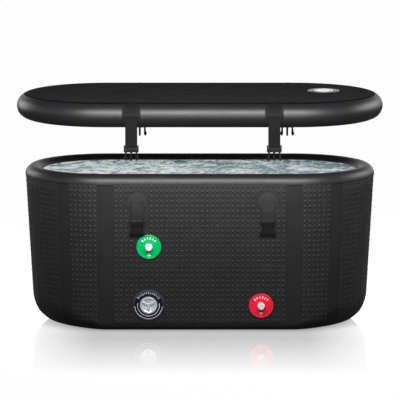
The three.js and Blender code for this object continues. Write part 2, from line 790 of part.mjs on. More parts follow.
makeShell();
makePads();
makePort("inlet", inletSeat, greenPlastic);
makePort("drain", drainSeat, redPlastic);
const bossHole = valveBarrel(tubValveCap) + clearance;
const valveBoss = turned(ring(bossHole, tubValveBoss, seatFace - valveBarrelDepth, 0));
add(seated(tub, tubValveSeat), "tub_valve_boss", valveBoss, coatedFabric);
const onPad = new THREE.Matrix4().makeTranslation(0, 0, seatFace);
const tubValvePlace = tubValveSeat.clone().multiply(onPad);
makeValve("tub_valve", tub, tubValvePlace, tubValveCap, tubValveFlange, navyPlastic, silverPlastic);
makeLid();
["left", "right"].forEach((end, i) => {
  makeTubStrap(`front_${end}`, tubPatchX[i], false);
  makeTubStrap(`rear_${end}`, tubRearPatchX[i], true);
  makeLidStrap(`front_${end}`, lidStrapX[i], false);
  makeLidStrap(`rear_${end}`, lidRearStrapX[i], true);
});

export default coldPlungeTub;
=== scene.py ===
import math

import bpy
from mathutils import Matrix, Vector


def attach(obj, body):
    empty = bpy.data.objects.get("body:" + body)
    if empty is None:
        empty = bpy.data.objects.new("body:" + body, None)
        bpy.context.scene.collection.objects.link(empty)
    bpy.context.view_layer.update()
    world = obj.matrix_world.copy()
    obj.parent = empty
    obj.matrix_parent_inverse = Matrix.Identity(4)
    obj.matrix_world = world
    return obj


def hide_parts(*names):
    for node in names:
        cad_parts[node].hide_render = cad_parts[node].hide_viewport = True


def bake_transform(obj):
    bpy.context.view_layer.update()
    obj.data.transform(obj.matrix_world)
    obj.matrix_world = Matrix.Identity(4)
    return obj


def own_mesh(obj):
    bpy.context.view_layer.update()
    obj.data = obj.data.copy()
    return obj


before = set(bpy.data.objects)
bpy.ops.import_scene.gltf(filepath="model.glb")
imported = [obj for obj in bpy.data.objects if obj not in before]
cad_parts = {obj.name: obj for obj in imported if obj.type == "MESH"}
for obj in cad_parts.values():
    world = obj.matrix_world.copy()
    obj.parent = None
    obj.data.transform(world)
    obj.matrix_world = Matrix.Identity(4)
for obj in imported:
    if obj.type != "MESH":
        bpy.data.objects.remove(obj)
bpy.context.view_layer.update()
mm = 0.001
print("frame loaded,", len(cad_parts), "nodes")


# Working habits: what is selected, what is being edited, and what is done with it.

def clearSelection():
    if bpy.context.mode != "OBJECT":
        bpy.ops.object.mode_set(mode="OBJECT")
    bpy.ops.object.select_all(action="DESELECT")


def takeUp(piece, editing=False):
    clearSelection()
    piece.select_set(True)
    bpy.context.view_layer.objects.active = piece
    if editing:
        bpy.ops.object.mode_set(mode="EDIT")
        bpy.ops.mesh.select_all(action="SELECT")


def pick(piece, kind, test):
    takeUp(piece, editing=True)
    bpy.ops.mesh.select_mode(type={"vertices": "VERT", "edges": "EDGE", "polygons": "FACE"}[kind])
    bpy.ops.mesh.select_all(action="DESELECT")
    bpy.ops.object.mode_set(mode="OBJECT")
    for item in getattr(piece.data, kind):
        item.select = test(item)
    bpy.ops.object.mode_set(mode="EDIT")


def modify(piece, kind, **settings):
    takeUp(piece)
    modifier = piece.modifiers.new(kind, kind)
    for key, value in settings.items():
        setattr(modifier, key, value)
    bpy.ops.object.modifier_apply(modifier=modifier.name)


def softenEdges(piece, width, segments=2, angle=40):
    modify(piece, "BEVEL", width=width * mm, segments=segments, limit_method="ANGLE",
           angle_limit=math.radians(angle), harden_normals=False)


def closeSeams(piece):
    takeUp(piece, editing=True)
    bpy.ops.mesh.remove_doubles(threshold=0.002 * mm)
    bpy.ops.mesh.normals_make_consistent(inside=False)
    bpy.ops.object.mode_set(mode="OBJECT")


def reshape(piece, place):
    for vertex in piece.data.vertices:
        vertex.co = place(*vertex.co)
    piece.data.update()


def joined(name, pieces):
    takeUp(pieces[0])
    for piece in pieces:
        piece.select_set(True)
    bpy.ops.object.join()
    pieces[0].name = name
    return pieces[0]


def finishPiece(piece, finish, body=None, nodes=(), sharp=35):
    takeUp(piece)
    bpy.ops.object.shade_smooth_by_angle(angle=math.radians(sharp))
    piece.data.materials.clear()
    piece.data.materials.append(finish)
    if body:
        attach(piece, body)
    if nodes:
        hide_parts(*nodes)
    return piece


# Camera, long and far away, as the photograph has almost no perspective.

viewpoint = {"tilt": 8.6, "distance": 20, "target": Vector((0.0009, 0, 0.516)), "lens": 418}

clearSelection()
downwards = math.radians(viewpoint["tilt"])
away = Vector((0, -math.cos(downwards), math.sin(downwards))) * viewpoint["distance"]
bpy.ops.object.camera_add(location=viewpoint["target"] + away, rotation=(math.pi / 2 - downwards, 0, 0))
camera = bpy.context.object
camera.data.lens = viewpoint["lens"]
camera.data.clip_end = 200
bpy.context.scene.camera = camera
bpy.context.scene.view_settings.view_transform = "Standard"
print("camera set")


# Materials

def linear(hexColour):
    channels = [int(hexColour[i:i + 2], 16) / 255 for i in (1, 3, 5)]
    return [c / 12.92 if c <= 0.04045 else ((c + 0.055) / 1.055) ** 2.4 for c in channels] + [1]


def addNode(tree, kind, inputs=None, **settings):
    node = tree.nodes.new(kind)
    for key, value in settings.items():
        setattr(node, key, value)
    for key, value in (inputs or {}).items():
        if isinstance(value, bpy.types.NodeSocket):
            tree.links.new(value, node.inputs[key])
        else:
            node.inputs[key].default_value = value
    return node


def startMaterial(name, **sockets):
    material = bpy.data.materials.new(name)
    material.use_nodes = True
    tree = material.node_tree
    shader = tree.nodes["Principled BSDF"]
    for key, value in sockets.items():
        shader.inputs[key.replace("_", " ")].default_value = value
    return material, tree, shader


def surfaced(name, dark, light, roughness, cloud, grain, depth, spread=0.06, coordinates="Object", **sockets):
    # Two shades that drift into each other over `cloud` mm, and a grain of `grain` mm in relief.
    # The roughness drifts with the shade, by `spread` to each side.
    material, tree, shader = startMaterial(name, **sockets)
    place = addNode(tree, "ShaderNodeTexCoord").outputs[coordinates]
    drift = addNode(tree, "ShaderNodeTexNoise", {"Vector": place, "Scale": 1 / (cloud * mm), "Detail": 3.0})
    shade = addNode(tree, "ShaderNodeMix", {0: drift.outputs["Fac"], 6: linear(dark), 7: linear(light)},
                    data_type="RGBA")
    sheen = addNode(tree, "ShaderNodeMapRange", {"Value": drift.outputs["Fac"], "From Min": 0.3, "From Max": 0.7,
                                                 "To Min": roughness - spread, "To Max": roughness + spread})
    tree.links.new(shade.outputs[2], shader.inputs["Base Color"])
    tree.links.new(sheen.outputs["Result"], shader.inputs["Roughness"])
    fine = addNode(tree, "ShaderNodeTexNoise", {"Vector": place, "Scale": 1 / (grain * mm), "Detail": 2.0})
    bump = addNode(tree, "ShaderNodeBump", {"Height": fine.outputs["Fac"], "Strength": 0.5, "Distance": depth * mm})
    tree.links.new(bump.outputs["Normal"], shader.inputs["Normal"])
    return material


# Calendered PVC on a polyester scrim: satin black, with a faint cloudiness and a leathery grain.
coatedFabric = surfaced("PVC-coated polyester", "#242425", "#2a2a2b", 0.45, 90, 3.0, 0.02, Specular_IOR_Level=0.15)
# The same with a gloss lacquer, for the round edges.
glossFabric = surfaced("lacquered PVC-coated polyester", "#18181a", "#1c1c1e", 0.42, 90, 3.0, 0.01, spread=0.03,
                       IOR=1.55, Specular_IOR_Level=0.34)
# The same film embossed on the wall, a little greyer and drier.
gripFilm = surfaced("embossed PVC film", "#212122", "#272728", 0.5, 60, 2.5, 0.01, Specular_IOR_Level=0.26)
# Fine-grained film on the lid, dull and deep black.
deckFilm = surfaced("fine-grained PVC film", "#1c1c1d", "#212122", 0.6, 60, 1.5, 0.03, Specular_IOR_Level=0.004)
# Tape over the weld round the deck.
seamTape = surfaced("welded seam tape", "#0c0c0d", "#101011", 0.65, 25, 1.5, 0.03, Specular_IOR_Level=0.03)
# Heavy patch film, welded on, dull. One film in two copies: painted lighter on the tub, and painted darker as shade on
# the lid, against the light that falls on the lid's rail.
tubPatchFilmPaintedLight = surfaced("welded PVC patch", "#29292a", "#2f2f30", 0.65, 25, 1.5, 0.03, Specular_IOR_Level=0.2)
lidPatchFilmPaintedShade = surfaced("sewn PVC patch", "#101011", "#161617", 0.7, 25, 1.5, 0.03, Specular_IOR_Level=0.1)
# Acetal, injection moulded with a fine spark-eroded grain.
acetal = surfaced("moulded acetal", "#111112", "#161617", 0.55, 20, 0.9, 0.01, IOR=1.48, Specular_IOR_Level=0.14)
# Silicone, soft and dull.
silicone = surfaced("silicone rubber", "#121212", "#191919", 0.7, 12, 0.8, 0.02, IOR=1.41)
# ABS, injection moulded and smooth, with slight flow marks.
whiteAbs = surfaced("white ABS", "#f6f6f4", "#fcfcfb", 0.3, 18, 1.5, 0.003, IOR=1.53)
greenAbs = surfaced("green ABS", "#00b060", "#00bc6a", 0.4, 22, 1.2, 0.003, Specular_IOR_Level=0.25)
redAbs = surfaced("red ABS", "#fb2242", "#ff2a4b", 0.4, 22, 1.2, 0.003, Specular_IOR_Level=0.25)
navyAbs = surfaced("navy ABS", "#2b2e43", "#333650", 0.4, 22, 1.2, 0.003, IOR=1.46)
blackAbs = surfaced("black ABS", "#111213", "#161718", 0.4, 22, 1.2, 0.003, IOR=1.46)
# Pearl pigment in ABS: a soft metallic lilac.
pearlAbs = surfaced("pearl ABS", "#dcdeea", "#e8eaf4", 0.24, 14, 1.0, 0.003, Metallic=0.35, IOR=1.53)
# White ABS painted greyer as shade, for the lid valve cap, which faces the lights and would clip to white.
shadedWhiteAbs = surfaced("ivory ABS", "#c6cac2", "#d2d6ce", 0.4, 18, 1.5, 0.003, IOR=1.53)
# Screen ink on moulded plastic, matt.
whiteInk = surfaced("white screen ink", "#e8e8ee", "#f4f4f8", 0.5, 9, 0.6, 0.01, IOR=1.5)
blackInk = surfaced("black screen ink", "#0d0e15", "#12131b", 0.5, 9, 0.6, 0.01, Specular_IOR_Level=0.2)
# Bonded polyester thread.
thread = surfaced("polyester thread", "#0a0a0b", "#101011", 0.6, 4, 0.5, 0.02, IOR=1.57)
# Hard-drawn spring wire with drawing lines.
springSteel = surfaced("spring steel wire", "#a9abad", "#bdbfc1", 0.28, 3, 0.4, 0.01, Metallic=1.0)


def wovenWebbing(name, dark, light):
    # Polyester webbing: ribs along its length and weft across, drawn at about twice the real thread
    # spacing of 1.2 mm so that they show. Both edges are darkened as painted shade, and the free part below the sewn
    # end is painted dark as shade.
    rib, weft = 2.4, 3.2
    material, tree, shader = startMaterial(name, Specular_IOR_Level=0.15, Sheen_Weight=0.03,
                                           Sheen_Roughness=0.5)
    place = addNode(tree, "ShaderNodeTexCoord").outputs["UV"]
    lengthways = addNode(tree, "ShaderNodeTexWave", {"Vector": place, "Scale": 0.314 / (rib * mm)},
                         bands_direction="X")
    across = addNode(tree, "ShaderNodeTexWave", {"Vector": place, "Scale": 0.314 / (weft * mm)},
                     bands_direction="Y")
    weave = addNode(tree, "ShaderNodeMath", {0: lengthways.outputs["Fac"], 1: across.outputs["Fac"]},
                    operation="MULTIPLY")
    fuzz = addNode(tree, "ShaderNodeTexNoise", {"Vector": place, "Scale": 1 / (6 * mm), "Detail": 4.0})
    axes = addNode(tree, "ShaderNodeSeparateXYZ", {0: place}).outputs
    sideways = addNode(tree, "ShaderNodeMath", {0: axes["X"]}, operation="ABSOLUTE")
    paintedEdgeShade = addNode(tree, "ShaderNodeMapRange", {"Value": sideways.outputs[0], "From Min": 21 * mm,
                                                    "From Max": 23 * mm, "To Min": 1.0, "To Max": 0.1})
    paintedShadeBelowSewnEnd = addNode(tree, "ShaderNodeMapRange", {"Value": axes["Y"], "From Min": 50 * mm, "From Max": 56 * mm,
                                                 "To Min": 1.0, "To Max": 0.0})
    shade = weave.outputs[0]
    for factor in (fuzz.outputs["Fac"], paintedEdgeShade.outputs["Result"], paintedShadeBelowSewnEnd.outputs["Result"]):
        shade = addNode(tree, "ShaderNodeMath", {0: shade, 1: factor}, operation="MULTIPLY").outputs[0]
    colour = addNode(tree, "ShaderNodeMix", {0: shade, 6: linear(dark), 7: linear(light)}, data_type="RGBA")
    dull = addNode(tree, "ShaderNodeMapRange", {"Value": fuzz.outputs["Fac"], "To Min": 0.62, "To Max": 0.8})
    bump = addNode(tree, "ShaderNodeBump", {"Height": weave.outputs[0], "Strength": 0.7, "Distance": 0.35 * mm})
    tree.links.new(colour.outputs[2], shader.inputs["Base Color"])
    tree.links.new(dull.outputs["Result"], shader.inputs["Roughness"])
    tree.links.new(bump.outputs["Normal"], shader.inputs["Normal"])
    return material


tubWebbing = wovenWebbing("woven polyester webbing", "#262627", "#545455")
lidWebbing = wovenWebbing("dyed polyester webbing", "#070708", "#111112")
print("materials made")


# The tub's plan and wall, as the solids have them.

tub = {"straight": 400, "radius": 350, "rimBulge": 4, "rimBottom": 632, "taper": 36, "wall": 70,
       "sideFoot": 30, "endFootIn": 90, "endFootUp": 120, "footEase": 0.15, "endSteps": 64}
wallTilt = math.atan(tub["taper"] / tub["rimBottom"])
seatFace = 2.2  # fittings stand this far off the wall, on the grip pad


def wallFace(z):
    return tub["radius"] - tub["rimBulge"] - tub["taper"] * (1 - z / tub["rimBottom"])


def footInset(z, facing):
    along = abs(math.cos(facing))
    towardsEnd = (1 + tub["footEase"]) * along * along * (2 - along) / (along + tub["footEase"])
    inset = tub["sideFoot"] + (tub["endFootIn"] - tub["sideFoot"]) * towardsEnd
    rise = tub["sideFoot"] + (tub["endFootUp"] - tub["sideFoot"]) * towardsEnd
    below = max(0, 1 - z / rise)
    return inset * (1 - math.sqrt(1 - below * below))


def wallSeat(x, z, rear=False):
    # Z points out of the wall and Y up along it.
    side = -x if rear else x
    seat = Matrix.Translation(Vector((side, -wallFace(z), z)) * mm) @ Matrix.Rotation(math.pi / 2 + wallTilt, 4, "X")
    return Matrix.Rotation(math.pi, 4, "Z") @ seat if rear else seat


# Ways to make a shape: along the oval, round an axis, from a copy of a solid, along a path.

def pulledOutline(name, points, place, closed=True):
    # A ring of edges, each point pulled to its place.
    clearSelection()
    bpy.ops.mesh.primitive_circle_add(vertices=len(points), radius=mm)
    piece = bpy.context.object
    piece.name = name
    for vertex, point in zip(piece.data.vertices, points):
        vertex.co = Vector(place(*point)) * mm
    if not closed:
        last = len(points) - 1
        pick(piece, "edges", lambda edge: set(edge.vertices) == {0, last})
        bpy.ops.mesh.delete(type="EDGE")
    takeUp(piece, editing=True)
    return piece


def sweptOval(name, points, closed=True):
    # The profile of [radius, height] points goes along the front, round one end, and back.
    straight = tub["straight"]
    piece = pulledOutline(name, points, lambda radius, z: (-straight, -radius, z), closed)
    for side in (1, -1):
        bpy.ops.mesh.extrude_region_move(TRANSFORM_OT_translate={"value": (side * 2 * straight * mm, 0, 0)})
        bpy.ops.mesh.spin(steps=tub["endSteps"], angle=-math.pi, center=(side * straight * mm, 0, 0),
                          axis=(0, 0, 1))
    if not closed:
        bpy.ops.mesh.select_all(action="SELECT")
        bpy.ops.mesh.remove_doubles(threshold=0.002 * mm)
        bpy.ops.mesh.select_all(action="SELECT")
        bpy.ops.mesh.fill_holes(sides=0)
    closeSeams(piece)
    return piece


def turned(name, profile, seat, segments=72, start=0, sweep=360):
    # A half profile of [radius, height] points, spun round the seat's Z.
    open_ = profile[0][0] == 0 and profile[-1][0] == 0
    begin = math.radians(start)
    piece = pulledOutline(name, profile, lambda radius, z: (radius * math.cos(begin), radius * math.sin(begin), z),
                          not open_)
    bpy.ops.mesh.spin(steps=segments, angle=-math.radians(sweep), center=(0, 0, 0), axis=(0, 0, 1))
    if sweep < 360:
        bpy.ops.mesh.select_all(action="SELECT")
        bpy.ops.mesh.fill_holes(sides=0)
    closeSeams(piece)
    piece.data.transform(seat)
    return piece


def refinedCopy(name, node, width, segments=2):
    # A solid's own mesh, merged, with its edges rounded as a mould leaves them.
    clearSelection()
    piece = bpy.data.objects.new(name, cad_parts[node].data.copy())
    bpy.context.scene.collection.objects.link(piece)
    takeUp(piece, editing=True)
    bpy.ops.mesh.remove_doubles(threshold=0.005 * mm)
    bpy.ops.mesh.dissolve_limited(angle_limit=math.radians(2))
    bpy.ops.object.mode_set(mode="OBJECT")
    softenEdges(piece, width, segments, 30)
    return piece


def ribbon(name, path, width, thickness):
    # Webbing along a path of [y, z] points, with its UV map in metres along and across.
    steps = 6
    clearSelection()
    bpy.ops.mesh.primitive_grid_add(x_subdivisions=steps, y_subdivisions=len(path) - 1, size=mm)
    piece = bpy.context.object
    piece.name = name
    lengths = [0]
    for before, after in zip(path, path[1:]):
        lengths.append(lengths[-1] + math.dist(before, after))
    flat = []
    for i, vertex in enumerate(piece.data.vertices):
        row, column = divmod(i, steps + 1)
        x = (column / steps - 0.5) * width
        vertex.co = Vector((x, *path[row])) * mm
        flat.append((x * mm, lengths[row] * mm))
    uvMap = piece.data.uv_layers[0].data
    for loop in piece.data.loops:
        uvMap[loop.index].uv = flat[loop.vertex_index]
    modify(piece, "SOLIDIFY", thickness=thickness * mm, offset=0, use_even_offset=True)
    softenEdges(piece, thickness * 0.3, 2, 60)
    takeUp(piece, editing=True)
    bpy.ops.mesh.normals_make_consistent(inside=False)
    bpy.ops.object.mode_set(mode="OBJECT")
    return piece


def bend(middle, radius, start, end, steps=5):
    angles = [math.radians(start + (end - start) * i / steps) for i in range(steps + 1)]
    return [(middle[0] + radius * math.cos(a), middle[1] + radius * math.sin(a)) for a in angles]


# One dome of a grip pad, and a field of them: columns along X, rows along Y.

def domeField(name, first, columns, rows, pitch, radius, height, base):
    ball = (radius ** 2 + height ** 2) / (2 * height)
    clearSelection()
    bpy.ops.mesh.primitive_uv_sphere_add(segments=10, ring_count=14, radius=ball * mm)
    piece = bpy.context.object
    piece.name = name
    takeUp(piece, editing=True)
    bpy.ops.mesh.bisect(plane_co=(0, 0, (ball - height) * mm), plane_no=(0, 0, 1), use_fill=True, clear_inner=True)
    bpy.ops.mesh.select_all(action="SELECT")
    bpy.ops.transform.translate(value=(first[0] * mm, first[1] * mm, (base + height - ball) * mm))
    bpy.ops.object.mode_set(mode="OBJECT")
    for count, step in ((columns, (pitch * mm, 0, 0)), (rows, (0, pitch * mm, 0))):
        modify(piece, "ARRAY", count=count, use_relative_offset=False, use_constant_offset=True,
               constant_offset_displace=step)
    return piece


def cellCentre(co, first, pitch):
    return [first[i] + round((co[i] / mm - first[i]) / pitch) * pitch for i in (0, 1)]


# Wall, rim, base pan and floor of the tub

shell = {"base": 28.3, "wallTop": 631.7, "footRows": 14, "rimRadius": 39, "rimSkirt": 4, "rimRows": 28,
         "panTop": 28, "panFloor": 12, "floorTop": 42.3, "floorEdge": 9}
ports = {"inlet": {"x": -216, "z": 365.7}, "drain": {"x": 261, "z": 110}}
portHole, portBoss, valveHole, valveBoss = 13.3, 40, 43.6, 66
fitGap = 0.3  # between neighbours that touch
wallValve = {"x": -218, "z": 112, "flange": 68, "cap": 36.5}
tubStraps = {"front_left": -266, "front_right": 289, "rear_left": -263, "rear_right": 383}
lidStraps = {"front_left": -289, "front_right": 314, "rear_left": -263, "rear_right": 383}


def atFoot(x, y, z):
    # Draws a point of the outer face in, where the lower edge is rounded.
    middle = max(-tub["straight"] * mm, min(tub["straight"] * mm, x))
    out = Vector((x - middle, y))
    if out.length < (wallFace(z / mm) - tub["wall"] / 2) * mm:
        return x, y, z
    facing = math.atan2(out.y, out.x)
    out *= 1 - footInset(z / mm, facing) * mm / out.length
    return middle + out.x, out.y, z


def cylinder(name, radius, low, high, seat):
    return turned(name, [(0, low), (radius, low), (radius, high), (0, high)], seat, 72)


def frontCutters(portRadius, valveRadius):
    cutters = [cylinder("cutter", portRadius, -80, 12, wallSeat(port["x"], port["z"])) for port in ports.values()]
    valveSeat = wallSeat(wallValve["x"], wallValve["z"])
    return cutters + [cylinder("cutter", valveRadius, seatFace - 40.3, 12, valveSeat)]


def cutAway(piece, cutters):
    for cutter in cutters:
        modify(piece, "BOOLEAN", operation="DIFFERENCE", object=cutter, solver="EXACT")
        bpy.data.objects.remove(cutter)


def makeShell():
    rise = tub["endFootUp"] - shell["base"]
    outerRows = [shell["base"] + rise * (i / shell["footRows"]) ** 1.3 for i in range(shell["footRows"] + 1)]
    outerRows += [250, 400, 550, shell["wallTop"]]
    outer = [(wallFace(z), z) for z in outerRows]
    inner = [(wallFace(z) - tub["wall"], z) for z in (shell["wallTop"], 400, 200, shell["base"])]
    wall = sweptOval("tubWall", outer + inner)
    reshape(wall, atFoot)
    cutAway(wall, frontCutters(portBoss + fitGap, valveBoss + fitGap))
    finishPiece(wall, coatedFabric, "tub", ["wall_front", "wall_left", "wall_right"])

    middle = tub["radius"] - shell["rimRadius"]
    spring = tub["rimBottom"] + shell["rimSkirt"]
    crown = bend((middle, spring), shell["rimRadius"], 0, 180, shell["rimRows"])
    skirt = [(middle - shell["rimRadius"], tub["rimBottom"]), (middle + shell["rimRadius"], tub["rimBottom"])]
    rim = sweptOval("tubRim", crown + skirt)
    finishPiece(rim, glossFabric, "tub", ["rim_band"])

    panRows = [shell["panTop"] * (i / 10) ** 1.5 for i in range(11)]
    inside = wallFace(shell["panTop"]) - tub["wall"]
    profile = [(wallFace(z), z) for z in panRows] + [(inside, shell["panTop"]), (inside, shell["panFloor"])]
    pan = sweptOval("basePan", profile, closed=False)
    reshape(pan, atFoot)
    finishPiece(pan, coatedFabric, "tub", ["base_pan"])

    edge = shell["floorEdge"]
    radius = inside - 0.3
    low, high = shell["panFloor"] + 0.3, shell["floorTop"]
    profile = [(radius - 2, low), (radius, low + 2)] + bend((radius - edge, high - edge), edge, 0, 90, 8)
    floor = sweptOval("tubFloor", profile, closed=False)
    finishPiece(floor, coatedFabric, "tub", ["floor_panel"])


makeShell()
print("shell made")


# Grip pads: film with domes, made flat as (along, up, out) and then laid on the wall.

pad = {"bottom": 32.3, "top": 631.4, "glue": 0.4, "thickness": 1.5, "groove": 0.5, "edge": 0.9,
       "pitch": 21.5, "domeRadius": 6.6, "domeHeight": 2.0, "endDomeHeights": (1.4, 0.9, 1.4), "lowestDome": 44, "rows": 28,
       "pressedHeight": 0.12, "centre": 367, "corner": (6, 27.5), "end": (36.6, 56, 64.5, 115.5, 124, 143.4)}
padRadius = 340  # radius at which a pad's angle is laid out flat


def pressedUnder(x, z):
    # True where a fitting lies on the front pad, which presses its domes flat.
    grip = pad["domeRadius"] + 1
    for port in ports.values():
        if math.dist((x, z), (port["x"], port["z"])) < 52.5 + grip:
            return True
    if math.dist((x, z), (wallValve["x"], wallValve["z"])) < wallValve["flange"] + grip:
        return True
    return False


def pressedByStrap(x, z, straps):
    grip = pad["domeRadius"] + 1
    for strapX in straps:
        if math.dist((x, z), (strapX, 558)) < 43 + grip:
            return True
        if abs(x - strapX) < 33 + grip and 416 - grip < z < 558:
            return True
    return False


def cutOut(x, z):
    holes = [(port["x"], port["z"], portHole) for port in ports.values()]
    holes.append((wallValve["x"], wallValve["z"], valveHole))
    return any(math.dist((x, z), hole[:2]) < hole[2] + pad["domeRadius"] + 1 for hole in holes)


def padField(start, end, thickness, columns):
    # One flat field of film, with its domes unless it is a groove.
    rows = 22
    clearSelection()
    bpy.ops.mesh.primitive_grid_add(x_subdivisions=max(2, columns), y_subdivisions=rows, size=mm)
    film = bpy.context.object
    across = max(2, columns) + 1
    for i, vertex in enumerate(film.data.vertices):
        row, column = divmod(i, across)
        up = pad["bottom"] + (pad["top"] - pad["bottom"]) * (row / rows) ** 1.6
        vertex.co = Vector((start + (end - start) * column / (across - 1), up, pad["glue"] + thickness)) * mm
    modify(film, "SOLIDIFY", thickness=thickness * mm, offset=-1)
    softenEdges(film, min(pad["edge"], thickness * 0.6), 3, 60)
    return film


def padDomes(start, end, columns, height, press=None, cut=None):
    first = ((start + end) / 2 - pad["pitch"] * (columns - 1) / 2, pad["lowestDome"])
    top = pad["glue"] + pad["thickness"]
    domes = domeField("domes", first, columns, pad["rows"], pad["pitch"], pad["domeRadius"], height + 0.1, top - 0.1)
    if cut:
        pick(domes, "vertices", lambda vertex: cut(*cellCentre(vertex.co, first, pad["pitch"])))
        bpy.ops.mesh.delete(type="VERT")
        bpy.ops.object.mode_set(mode="OBJECT")
    if press:
        for vertex in domes.data.vertices:
            if press(*cellCentre(vertex.co, first, pad["pitch"])):
                vertex.co.z = top * mm + (vertex.co.z - top * mm) * pad["pressedHeight"]
    return domes


def layOnWall(piece, spin=None, turn=False):
    # Flat (along, up, out) to its place: along X on the straight side, or round an end.
    side = -1 if turn else 1

    def place(along, up, out):
        facing = -math.pi / 2 if spin is None else along / (padRadius * mm) - math.pi / 2
        middle = along if spin is None else tub["straight"] * mm
        radius = (wallFace(up / mm) - footInset(up / mm, facing)) * mm + out
        return side * (middle + radius * math.cos(facing)), side * radius * math.sin(facing), up

    reshape(piece, place)


def makePads():
    half = pad["centre"]
    columns = 34
    for name, straps in (("front", [tubStraps["front_left"], tubStraps["front_right"]]),
                         ("rear", [-tubStraps["rear_left"], -tubStraps["rear_right"]])):
        front = name == "front"
        film = padField(-half, half, pad["thickness"], columns)
        press = lambda x, z: pressedByStrap(x, z, straps) or (front and pressedUnder(x, z))
        domes = padDomes(-half, half, columns, pad["domeHeight"], press, cutOut if front else None)
        layOnWall(film, turn=not front)
        if front:
            cutAway(film, frontCutters(portHole, valveHole))
        layOnWall(domes, turn=not front)
        piece = joined("gripPad_" + name, [film, domes])
        finishPiece(piece, gripFilm, "tub", ["grip_pad_" + name])

    arc = lambda angle: math.radians(angle) * padRadius
    near, far = (arc(angle) for angle in pad["corner"])
    flat = math.pi * padRadius
    for name, start, end, turn in (("front_right", near, far, False), ("rear_right", flat - far, flat - near, False),
                                   ("rear_left", near, far, True), ("front_left", flat - far, flat - near, True)):
        domes = padDomes(start, end, 6, pad["domeHeight"])
        piece = joined("gripPad_" + name, [padField(start, end, pad["thickness"], 6), domes])
        layOnWall(piece, spin=True, turn=turn)
        finishPiece(piece, gripFilm, "tub", ["grip_pad_" + name])

    stops = [arc(angle) for angle in pad["end"]]
    for name, turn in (("right_end", False), ("left_end", True)):
        parts = []
        for i, (start, end) in enumerate(zip(stops, stops[1:])):
            groove = i % 2 == 1
            fieldColumns = max(1, round((end - start) / pad["pitch"]))
            parts.append(padField(start, end, pad["groove"] if groove else pad["thickness"], fieldColumns * 2))
            if not groove:
                domeColumns = math.floor((end - start - 8) / pad["pitch"]) + 1
                parts.append(padDomes(start, end, domeColumns, pad["endDomeHeights"][i // 2]))
        piece = joined("gripPad_" + name, parts)
        layOnWall(piece, spin=True, turn=turn)
        finishPiece(piece, gripFilm, "tub", ["grip_pad_" + name])


makePads()
print("grip pads made")


# Water ports: coloured flange with a raised edge, white spigot and plug, generic marks

port = {"base": 2.2, "face": 8.2, "field": 7.2, "lip": 5.2, "radius": 52.5, "hole": 13.3, "recess": 15.3,
        "nose": 20.2, "tail": -75.9, "bossBack": -71.9, "spigot": 13, "bore": 9, "shoulder": 15, "shank": 8.7,
        "shankLength": 28, "cap": 14, "capTop": 25.5, "markRise": 0.25}


def mark(name, points, base, rise, seat):
    # A flat printed shape of [x, y] points, just proud of the face.
    piece = pulledOutline(name, points, lambda x, y: (x, y, base))
    bpy.ops.mesh.edge_face_add()
    bpy.ops.mesh.extrude_region_move(TRANSFORM_OT_translate={"value": (0, 0, rise * mm)})
    closeSeams(piece)
    piece.data.transform(seat)
    return piece


def makePort(name, finish):
    seat = wallSeat(ports[name]["x"], ports[name]["z"])
    edge = port["radius"]
    face, field = port["face"], port["field"]
    flange = turned(name + "Flange", [
        (port["hole"], port["base"]), (edge, port["base"]), (edge, face - 1.6), (edge - 0.5, face - 0.6),
        (edge - 1.4, face), (edge - 4.2, face), (edge - 5, face - 0.3), (edge - 5.6, field), (20.6, field),
        (20, face - 0.3), (19.2, face), (port["recess"], face), (port["recess"], port["lip"]),
        (port["hole"], port["lip"])], seat, 96)
    finishPiece(flange, finish, "tub", [name + "_flange"])

    nose, bore = port["nose"], port["bore"]
    spigot = turned(name + "Spigot", [
        (bore, port["tail"]), (port["spigot"] - 0.8, port["tail"]), (port["spigot"], port["tail"] + 0.8),
        (port["spigot"], port["lip"] + 0.3), (port["shoulder"], port["lip"] + 0.3), (port["shoulder"], face - 0.4),
        (port["shoulder"] - 0.4, face), (port["spigot"], face), (port["spigot"], nose - 1.2),
        (port["spigot"] - 0.4, nose - 0.4), (port["spigot"] - 1.2, nose), (bore + 0.7, nose), (bore, nose - 0.7)],
        seat, 64)
    finishPiece(spigot, whiteAbs, "tub", [name + "_spigot"])
    back = port["bossBack"]
    boss = turned(name + "Boss", [
        (port["hole"], back), (portBoss - 2, back), (portBoss - 0.6, back + 0.6), (portBoss, back + 2),
        (portBoss, 0), (port["hole"], 0)], seat, 72)
    finishPiece(boss, coatedFabric, "tub", [name + "_boss"])

    capBase = nose + fitGap
    end = capBase - port["shankLength"]
    top, cap, shank = port["capTop"], port["cap"], port["shank"]
    plug = turned(name + "Plug", [
        (0, end), (shank - 1.5, end), (shank, end + 1.5), (shank, capBase), (cap - 0.5, capBase), (cap, capBase + 0.5),
        (cap, top - 1.6), (cap - 0.5, top - 0.5), (cap - 1.6, top), (6, top), (5.4, top - 0.4),
        (5, top - 1.2), (0, top - 1.2)], seat, 64)
    finishPiece(plug, whiteAbs, name + "_plug", [name + "_plug"])

    # Ticks over the top of the field, and an arrow below: into the tub on one, out of it on the other.
    marks = []
    for i in range(6):
        turn = math.radians(45 + 18 * i)
        out, side = Vector((math.cos(turn), math.sin(turn))), Vector((-math.sin(turn), math.cos(turn)))
        corners = [out * 32 - side * 2.2, out * 43 - side * 2.2, out * 43 + side * 2.2, out * 32 + side * 2.2]
        marks.append(mark("mark", [tuple(c) for c in corners], field, port["markRise"], seat))
    tip = 1 if name == "inlet" else -1
    arrow = [(-9, -34 - tip * 5.5), (9, -34 - tip * 5.5), (0, -34 + tip * 7)]
    marks.append(mark("mark", arrow, field, port["markRise"], seat))
    finishPiece(joined(name + "Marks", marks), whiteInk, "tub")


makePort("inlet", greenAbs)
makePort("drain", redAbs)
print("water ports made")


# Air valves: flanged body, pin, and a cap with three grips

